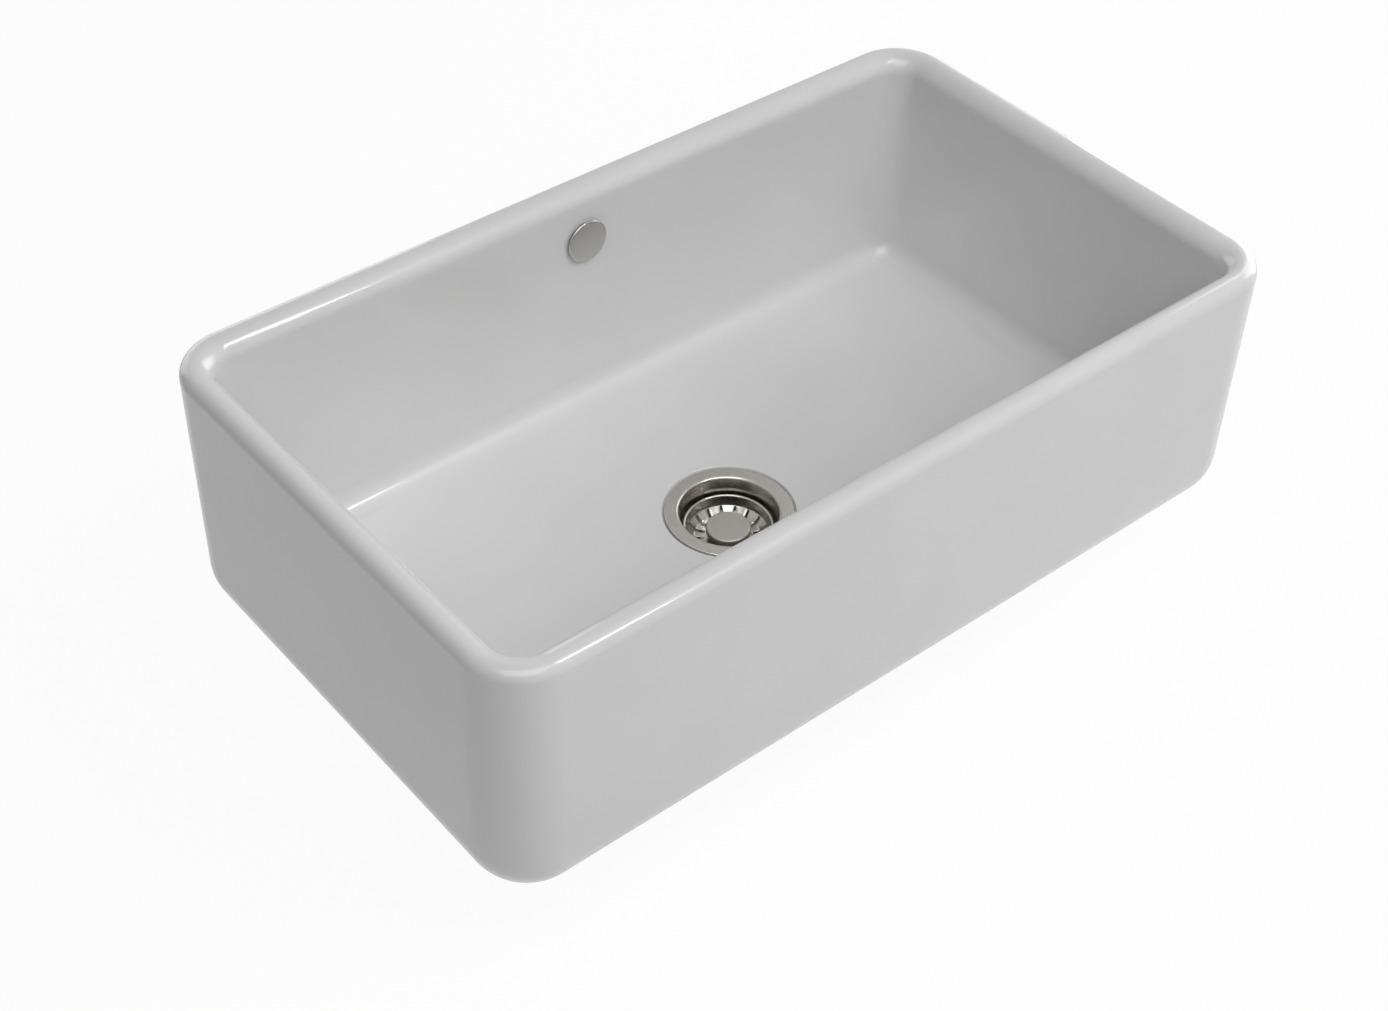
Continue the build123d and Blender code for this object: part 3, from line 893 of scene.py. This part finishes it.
# ---------------- the strainer waste
@dataclass
class PressedBowl:
    """The strainer's bowl: flange, mouth, tapering wall, seat, neck and four-armed bottom."""

    finish: Material
    node: str = "strainer_bowl"
    sheet: float = 0.0012
    flange: float = 0.057
    lip: float = 0.0026
    lip_roll: float = 0.0014
    mouth: float = 0.0434
    mouth_roll: float = 0.003
    foot: float = 0.0416  # radius at the foot of the wall
    foot_roll: float = 0.008
    seat_depth: float = 0.0396
    seat_fall: float = 0.0023
    seat: float = 0.0315
    seat_roll: float = 0.0012
    neck: float = 0.026
    window: float = 0.0248
    hub: float = 0.0115
    bore: float = 0.0054
    arm: float = 0.006

    def build(self) -> Object:
        """Models the bowl.

        Returns:
            The piece.
        """
        low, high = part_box(self.node)
        seat = high.z - self.seat_depth
        bottom = low.z + self.sheet
        mesh = Outline(
            Bend(self.flange, high.z - self.lip),
            Bend(self.flange, high.z, self.lip_roll),
            Bend(self.mouth, high.z, self.mouth_roll, parts=8),
            Bend(self.foot, seat + self.seat_fall, self.foot_roll, parts=8),
            Bend(self.seat, seat, self.seat_roll),
            Bend(self.neck, seat, self.seat_roll),
            Bend(self.neck, bottom, self.seat_roll),
            Bend(self.window, bottom),
            Bend(self.hub, bottom),
            Bend(self.bore, bottom),
        ).turned()
        self.cut_windows(mesh, bottom)
        thicken(mesh, self.sheet)
        return finished(mesh, "pressed_bowl", self.finish, "root", "strainer_steel", self.node)

    def cut_windows(self, mesh: BMesh, bottom: float) -> None:
        """Cuts the four windows between the arms across the neck.

        Args:
            mesh: the bowl's surface.
            bottom: height of the arms.
        """
        band = []
        for face in mesh.faces:
            reach = [vert.co.xy.length for vert in face.verts]
            inside = self.hub - TINY < min(reach) < max(reach) < self.window + TINY
            if inside and face.calc_center_median().z < bottom + TINY:
                band.append(face)
        half = self.arm / 2
        for way in (LONG, BACK):
            band = cut_lines(mesh, band, way, (-half, half))
        holes = faces_where(band, lambda at: min(abs(at.x), abs(at.y)) > half)
        bmesh.ops.delete(mesh, geom=holes, context="FACES")


@dataclass
class SlottedBasket:
    """The lift-out basket: floor, cone with its ring of slots, wall and rolled rim."""

    finish: Material
    node: str = "basket_shell"
    sheet: float = 0.0008
    rim: float = 0.040
    rim_roll: float = 0.0014
    rim_skirt: float = 0.0025
    rim_parts: int = 10
    waist: float = 0.0365
    waist_bend: tuple[Ring, Ring] = (Ring(0.0003, 0.0004), Ring(0.0004, 0.001))  # past the cone
    cone: float = 0.0059
    floor: float = 0.030
    bend: float = 0.0011  # reach of the bend between floor and cone
    stem_hole: float = 0.0044
    slots: int = 18
    slot_width: float = 0.0024
    slot_start: float = 0.0215
    slot_end: float = 0.0362
    slot_share: float = 0.3  # share of a sector that the slot takes while it is laid out flat
    slot_cuts: int = 3  # points within each end of a slot
    margin: float = 0.001  # plain metal inside the slots

    def build(self) -> Object:
        """Models the basket.

        Returns:
            The piece.
        """
        low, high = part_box(self.node)
        base = low.z + self.sheet
        mesh = self.flat_sector()
        for vert in mesh.verts:
            vert.co = self.laid(vert.co.x, vert.co.y, base)
        turn = 2 * pi / self.slots
        parts = mesh.verts[:] + mesh.edges[:] + mesh.faces[:]
        spin(mesh, parts, 2 * pi - turn, self.slots - 1, use_duplicate=True)
        bmesh.ops.remove_doubles(mesh, verts=mesh.verts[:], dist=TINY)
        inside = self.free_loop(mesh, self.slot_start - self.margin)
        floor = Ring(self.slot_start / 2, base), Ring(self.stem_hole, base)
        run_to(mesh, inside, Axis.WASTE, Vector(), *floor)
        outside = self.free_loop(mesh, self.waist)
        run_to(mesh, outside, Axis.WASTE, Vector(), *self.wall_rings(base, high.z))
        thicken(mesh, self.sheet)
        return finished(mesh, "slotted_basket", self.finish, "basket", "strainer_steel", self.node)

    def flat_sector(self) -> BMesh:
        """Lays out one sector flat, with its slot.

        Returns:
            The sector, with its radius along X and its share of the sector along Y.
        """
        mesh = bmesh.new()
        low, high = self.slot_start - self.margin, self.waist
        corners = (low, -1, 0), (high, -1, 0), (high, 1, 0), (low, 1, 0)
        faces = [mesh.faces.new([mesh.verts.new(corner) for corner in corners])]
        cap = self.slot_width / 2
        start, end = self.slot_start + cap, self.slot_end - cap
        bends = [self.floor + self.bend * step / 2 for step in range(-2, 3)]
        faces = cut_lines(mesh, faces, LONG, (start, (start + self.floor) / 2, *bends, end))
        share = self.slot_share
        between = (1 + share) / 2
        faces = cut_lines(mesh, faces, BACK, (-between, -share, 0, share, between))
        slot = faces_where(faces, lambda at: abs(at.y) < share and start < at.x < end)
        for edge in open_edges(slot):
            if abs(edge.verts[0].co.x - edge.verts[1].co.x) < TINY:
                bmesh.ops.subdivide_edges(mesh, edges=[edge], cuts=self.slot_cuts)
        for vert in ends_of(open_edges(slot)):
            across = cap * vert.co.y / share
            round_end = (max(0.0, cap**2 - across**2)) ** 0.5
            if abs(vert.co.x - start) < TINY:
                vert.co.x -= round_end
            elif abs(vert.co.x - end) < TINY:
                vert.co.x += round_end
        bmesh.ops.delete(mesh, geom=slot, context="FACES")
        return mesh

    def laid(self, radius: float, share: float, base: float) -> Vector:
        """Lays a point of the flat sector on the basket.

        Args:
            radius: its distance from the axis.
            share: its place across the sector, from -1 to 1.
            base: height of the basket's floor.

        Returns:
            Where it lies.
        """
        slot = asin(self.slot_width / 2 / radius)
        past = abs(share) - self.slot_share
        if past < 0:
            turn = slot * abs(share) / self.slot_share
        else:
            turn = slot + (pi / self.slots - slot) * past / (1 - self.slot_share)
        turn = turn if share > 0 else -turn
        slope = self.cone / (self.waist - self.floor)
        beyond = radius - self.floor
        rise = max(0.0, slope * beyond)
        if abs(beyond) < self.bend:
            rise = slope * (beyond + self.bend) ** 2 / (4 * self.bend)
        return Vector((radius * cos(turn), radius * sin(turn), base + rise))

    def free_loop(self, mesh: BMesh, radius: float) -> list[BMEdge]:
        """Finds the open edges on a circle about the axis.

        Args:
            mesh: the mesh.
            radius: the circle's radius.

        Returns:
            These edges.
        """
        free = [edge for edge in mesh.edges if edge.is_boundary]
        off = {vert: abs(vert.co.xy.length - radius) for vert in ends_of(free)}
        return [edge for edge in free if all(off[vert] < 10 * TINY for vert in edge.verts)]

    def wall_rings(self, base: float, top: float) -> list[Ring]:
        """Works out the wall and the rolled rim.

        Args:
            base: height of the basket's floor.
            top: height of the rim.

        Returns:
            Their rings, from the waist up and over.
        """
        middle = self.rim - self.rim_roll
        waist = base + self.cone
        rings = [Ring(self.waist + bend.radius, waist + bend.depth) for bend in self.waist_bend]
        for step in range(self.rim_parts + 1):
            turn = pi * step / self.rim_parts
            out, down = self.rim_roll * cos(turn), self.rim_roll * (1 - sin(turn))
            rings.append(Ring(middle - out, top - down))
        return [*rings, Ring(self.rim, top - self.rim_skirt)]


@dataclass
class FlatKnob:
    """The basket's round knob: flat top, hollow under its rim, on its post."""

    finish: Material
    node: str = "basket_knob"
    rim: float = 0.0195
    rim_roll: float = 0.0011
    foot_roll: float = 0.0005  # at the foot of the rim
    cap: float = 0.0065
    skin: float = 0.002
    skin_roll: float = 0.0012
    post: float = 0.007
    post_roll: float = 0.0015
    post_edge: float = 0.0004
    stem: float = 0.00405
    stem_depth: float = 0.0109

    def build(self) -> Object:
        """Models the knob.

        Returns:
            The piece.
        """
        low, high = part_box(self.node)
        top, base = high.z, low.z
        hollow = self.rim - self.skin
        mesh = Outline(
            Bend(0, top),
            Bend(self.rim, top, self.rim_roll),
            Bend(self.rim, top - self.cap, self.foot_roll, parts=3),
            Bend(hollow, top - self.cap, self.foot_roll, parts=3),
            Bend(hollow, top - self.skin, self.skin_roll),
            Bend(self.post, top - self.skin, self.post_roll),
            Bend(self.post, base, self.post_edge, parts=3),
            Bend(self.stem, base),
            Bend(self.stem, base + self.stem_depth),
            Bend(0, base + self.stem_depth),
        ).turned()
        return finished(mesh, "flat_knob", self.finish, "basket", "knob_nickel", self.node)


# ---------------- the overflow
@dataclass
class RoundCover:
    """The overflow's cover, off the back wall: crowned face, rolled edge, hollow back."""

    finish: Material
    node: str = "overflow_cover"
    edge: float = 0.020
    edge_roll: float = 0.0009
    crown: float = 0.0005  # how far its face falls back towards the edge
    crown_parts: int = 6
    thick: float = 0.0022
    rim: float = 0.002
    rim_roll: float = 0.0003
    hollow: float = 0.0009
    boss: float = 0.006
    stud: float = 0.00305

    def build(self) -> Object:
        """Models the cover.

        Returns:
            The piece.
        """
        low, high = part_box(self.node)
        face, back = low.y, low.y + self.thick
        hollow = back - self.hollow
        crown = []
        for step in range(self.crown_parts + 1):
            share = step / self.crown_parts
            crown.append(Bend(self.edge * share, face + self.crown * share**2))
        crown[-1] = replace(crown[-1], roll=self.edge_roll)
        mesh = Outline(
            *crown,
            Bend(self.edge, back, self.rim_roll, parts=3),
            Bend(self.edge - self.rim, back, self.rim_roll, parts=3),
            Bend(self.edge - self.rim, hollow, self.rim_roll, parts=3),
            Bend(self.boss, hollow),
            Bend(self.boss, high.y),
            Bend(self.stud, high.y),
            Bend(self.stud, hollow),
            Bend(0, hollow),
        ).turned()
        centre = (low + high) / 2
        place = Matrix.Translation((0, 0, centre.z)) @ Matrix.Rotation(radians(-90), 4, "X")
        bmesh.ops.transform(mesh, matrix=place, verts=mesh.verts[:])
        return finished(mesh, "round_cover", self.finish, "root", "cover_nickel", self.node)


# ---------------- threads and barbs
@dataclass(frozen=True)
class OutletThread:
    """The thread on the waste body's outlet, which takes the trap's nut."""

    finish: Material
    radius: float = 0.0239
    depth: float = 0.0006
    pitch: float = 0.002309
    root: float = 0.4  # half its width at the root, in pitches
    crest: float = 0.08  # and at the crest
    end: float = 0.0015  # plain length below the last turn
    turns: int = 9
    steps: int = 48  # in a turn

    def build(self) -> Object:
        """Models the thread as one ridge wound round the outlet.

        Returns:
            The piece.
        """
        low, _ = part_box("waste_body")
        mesh = bmesh.new()
        start = low.z + self.end + self.pitch
        inner, outer = self.radius - self.depth / 6, self.radius + self.depth
        section = (inner, -self.root), (outer, -self.crest), (outer, self.crest), (inner, self.root)
        verts = [mesh.verts.new((reach, 0, start + along * self.pitch)) for reach, along in section]
        face = mesh.faces.new(verts)
        rise = (0, 0, self.pitch / self.steps)
        parts = [*verts, *face.edges, face]
        spin(mesh, parts, 2 * pi * self.turns, self.steps * self.turns, dvec=rise)
        return finished(mesh, "outlet_thread", self.finish, "root", "waste_plastic", even=False)


@dataclass(frozen=True)
class HoseBarbs:
    """The barbs that hold the overflow hose on one of its two tails."""

    name: str
    finish: Material
    place: Matrix  # takes the origin to the middle of the tail's end, and +Z to the tail's way
    radius: float = 0.010
    proud: float = 0.0006
    first: float = 0.0025  # from the tail's end
    spacing: float = 0.0045
    crest: float = 0.7  # where a barb's crest lies, in spacings
    heel: float = 0.8  # and where it ends
    count: int = 4
    steps: int = 64

    def build(self) -> Object:
        """Models the barbs, each a cone that opens away from the tail's end.

        Returns:
            The piece.
        """
        mesh = bmesh.new()
        root, outer = self.radius - self.proud / 6, self.radius + self.proud
        for step in range(self.count):
            foot = -self.first - step * self.spacing
            ridge = Outline(
                Bend(root, foot),
                Bend(outer, foot - self.crest * self.spacing, self.proud / 4, parts=3),
                Bend(root, foot - self.heel * self.spacing),
                closed=True,
            ).turned(self.steps)
            data = bpy.data.meshes.new("barb")
            ridge.to_mesh(data)
            ridge.free()
            mesh.from_mesh(data)
            bpy.data.meshes.remove(data)
        bmesh.ops.transform(mesh, matrix=self.place, verts=mesh.verts[:])
        return finished(mesh, self.name, self.finish, "root", "waste_plastic", even=False)


# ---------------- the studio
AIM = Vector((0, 0, 0.12))  # what the lights face
AMBIENT = 0.01  # strength of the surroundings as a light
SEEN_RAYS = {"Is Camera Ray": 1.0, "Is Glossy Ray": 0.66, "Is Transmission Ray": 1.0}


@dataclass(frozen=True)
class Camera:
    """The photograph's viewpoint: where it looks from, how it is rolled and its lens."""

    place: Vector = Vector((-0.94836, -1.06223, 1.32549))
    back: Vector = Vector((-0.48106, -0.56272, 0.67225))  # from what it looks at, towards itself
    roll: float = radians(1.7896)
    lens: float = 57.625

    def build(self) -> None:
        """Makes the camera and hands it to the scene."""
        camera = placed("camera", bpy.data.cameras.new("camera"))
        camera.data.lens = self.lens
        turn = self.back.to_track_quat("Z", "Y") @ Quaternion((0, 0, 1), self.roll)
        camera.matrix_world = Matrix.Translation(self.place) @ turn.to_matrix().to_4x4()
        bpy.context.scene.camera = camera


@dataclass(frozen=True)
class SoftBox:
    """An oblong area light that faces the middle of the sink."""

    name: str
    way: Vector  # from the sink towards the light
    distance: float
    width: float
    height: float
    power: float
    mirrored: bool = True  # whether the glaze and the metal mirror it

    def build(self) -> None:
        """Makes the light."""
        data = bpy.data.lights.new(self.name, "AREA")
        data.shape = "RECTANGLE"
        data.size, data.size_y = self.width, self.height
        data.energy = self.power
        light = placed(self.name, data)
        light.visible_glossy = self.mirrored
        way = self.way.normalized()
        turn = way.to_track_quat("Z", "Y").to_matrix().to_4x4()
        light.matrix_world = Matrix.Translation(AIM + way * self.distance) @ turn


SOFT_BOXES = (
    SoftBox("strip", Vector((0.234, -0.493, 0.838)), 2.1, 0.2, 0.8, 6),
    SoftBox("key", Vector((0.25, -0.62, 0.73)), 3.0, 2.4, 2.4, 27, mirrored=False),
    SoftBox("camera_side", Vector((-0.35, -0.5, 0.9)), 3.0, 2.4, 2.4, 35),
    SoftBox("right", Vector((1, 0.15, 0.3)), 3.0, 2.2, 2.2, 43),
    SoftBox("behind", Vector((0, 1, 0.15)), 3.0, 2.4, 2.4, 24),
)


@dataclass(frozen=True)
class Studio:
    """Pale floor, plain surroundings and soft lights."""

    floor_size: float = 9.0
    floor_gap: float = 0.0005
    floor_colour: Colour = (0.82, 0.82, 0.82)
    shown_white: float = 0.95  # share of plain white in the floor as the camera sees it

    def build(self) -> None:
        """Makes the floor, the world and the lights."""
        self.make_floor()
        self.make_world()
        for light in SOFT_BOXES:
            light.build()
        bpy.context.scene.view_settings.view_transform = "Standard"

    @staticmethod
    def seen(graph: Graph) -> Sock:
        """How much white a ray sees, which is 0 for the light itself."""
        rays = (graph.node("ShaderNodeLightPath", output=ray) * SEEN_RAYS[ray] for ray in SEEN_RAYS)
        return reduce(Sock.most, rays)

    def make_floor(self) -> None:
        """The floor, just below the lowest piece."""
        low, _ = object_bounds()
        mesh = bmesh.new()
        bmesh.ops.create_grid(mesh, x_segments=1, y_segments=1, size=self.floor_size / 2)
        bmesh.ops.translate(mesh, vec=(0, 0, low.z - self.floor_gap), verts=mesh.verts[:])
        material = bpy.data.materials.new("pale_floor")
        material.use_nodes = True
        graph = Graph(material.node_tree)
        plain = graph.node("ShaderNodeBsdfDiffuse", inputs={"Color": (*self.floor_colour, 1.0)})
        white = graph.node("ShaderNodeEmission", inputs={"Color": WHITE, "Strength": 1.0})
        seen = self.seen(graph) * self.shown_white
        mixed = graph.node("ShaderNodeMixShader", inputs={0: seen, 1: plain, 2: white})
        graph.node("ShaderNodeOutputMaterial", inputs={"Surface": mixed})
        floor = as_object(mesh, "floor", material)
        floor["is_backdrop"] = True

    def make_world(self) -> None:
        """White surroundings that give the sink only a little light."""
        world = bpy.data.worlds.new("studio")
        world.use_nodes = True
        bpy.context.scene.world = world
        graph = Graph(world.node_tree)
        dim = graph.node("ShaderNodeBackground", inputs={"Color": WHITE, "Strength": AMBIENT})
        plain = graph.node("ShaderNodeBackground", inputs={"Color": WHITE, "Strength": 1.0})
        mixed = graph.node("ShaderNodeMixShader", inputs={0: self.seen(graph), 1: dim, 2: plain})
        graph.node("ShaderNodeOutputWorld", inputs={"Surface": mixed})


# ---------------- the whole sink
@dataclass
class FarmhouseSink:
    """The sink: the pieces that are modelled here, and the nodes that are dressed."""

    nodes: dict[str, Object]
    mounts: list[dict]
    overflow: float = 0.2  # height of the overflow's axis
    brass: Colour = (0.66, 0.47, 0.22)
    knob_painted_shade_top: float = 0.0080  # height below which the knob's flank has painted shade

    def build(self) -> None:
        """Builds and dresses every piece."""
        plastic = self.dress()["waste_plastic"]
        glaze = GlazedClay().make()
        steel = BrushedMetal("brushed_steel", (0.55, 0.525, 0.49), 0.26).make()
        nickel = (0.51, 0.49, 0.46)
        # the knob's flank under its rim gets painted shade
        knob = BrushedMetal("satin_nickel", nickel, 0.30, painted_shade_under=self.knob_painted_shade_top).make()
        cover = self.about_overflow("cover_nickel", (0.62, 0.61, 0.58), 0.16).make()
        pieces = [
            FireclayBasin(glaze).build(),
            PressedBowl(steel).build(),
            SlottedBasket(steel).build(),
            FlatKnob(knob).build(),
            RoundCover(cover).build(),
            OutletThread(plastic).build(),
        ]
        for name, place in self.tails():
            pieces.append(HoseBarbs(name, plastic, place).build())
        log.info("%d pieces modelled", len(pieces))

    def about_overflow(self, name: str, colour: Colour, roughness: float) -> BrushedMetal:
        """A metal brushed round the overflow's axis."""
        return BrushedMetal(name, colour, roughness, Axis.OVERFLOW, self.overflow)

    def tails(self) -> Iterable[tuple[str, Matrix]]:
        """Finds the two hose tails among the mounts.

        Yields:
            The name of a tail's barbs, and the place of its end.
        """
        for mount in self.mounts:
            if not mount["name"].endswith("hose_tail"):
                continue
            along = Vector(mount["axis"])
            name = mount["name"].replace("_hose_tail", "_hose_barbs")
            end = Vector(mount["pos_m"]) + along * (mount["dims"]["length_mm"] / 1000)
            yield name, Matrix.Translation(end) @ along.to_track_quat("Z", "Y").to_matrix().to_4x4()

    def dress(self) -> dict[str, Material]:
        """Gives every carried-over node its finish.

        Returns:
            The finished materials by name.
        """
        rubber = Moulded("seal_rubber", (0.045, 0.045, 0.045), 0.62, spread=0.12)
        foam = Moulded("seal_foam", (0.06, 0.06, 0.06), 0.85, grain=900, depth=0.00012, cells=True)
        plastic = Moulded("waste_plastic", (0.70, 0.70, 0.68), 0.42, spread=0.03)
        steel = BrushedMetal("turned_steel", (0.50, 0.49, 0.47), 0.30)
        elbow_brass = self.about_overflow("elbow_brass", self.brass, 0.28)
        ring_nickel = self.about_overflow("ring_nickel", (0.45, 0.44, 0.42), 0.25)
        finishes = {
            rubber: ("lower_gasket", "overflow_rear_gasket"),
            foam: ("flange_seal", "overflow_front_seal"),
            Moulded("stopper_rubber", (0.03, 0.03, 0.03), 0.55): ("stopper_seal",),
            plastic: ("waste_body", "overflow_elbow"),
            Moulded("ring_nylon", (0.72, 0.70, 0.64), 0.45): ("stem_ring",),
            steel: ("clamp_washer", "clamp_screw", "basket_stem", "stem_nut", "stopper_plate"),
            BrushedMetal("insert_brass", self.brass, 0.28): ("hub_insert",),
            elbow_brass: ("overflow_insert", "overflow_stud"),
            ring_nickel: ("overflow_ring",),
        }
        made = {}
        for finish, names in finishes.items():
            material = made[finish.name] = finish.make()
            for name in names:
                for slot in self.nodes[name].material_slots:
                    slot.material = material
                log.info("%s dressed with %s", name, material.name)
        return made


def main() -> None:
    """Builds the sink and its studio round the frame."""
    logging.basicConfig(level=logging.INFO, format="%(name)s: %(message)s")
    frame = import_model()
    Camera().build()
    FarmhouseSink(frame["nodes"], frame["record"]["mounts"]).build()
    Studio().build()


if __name__ == "__main__":
    main()
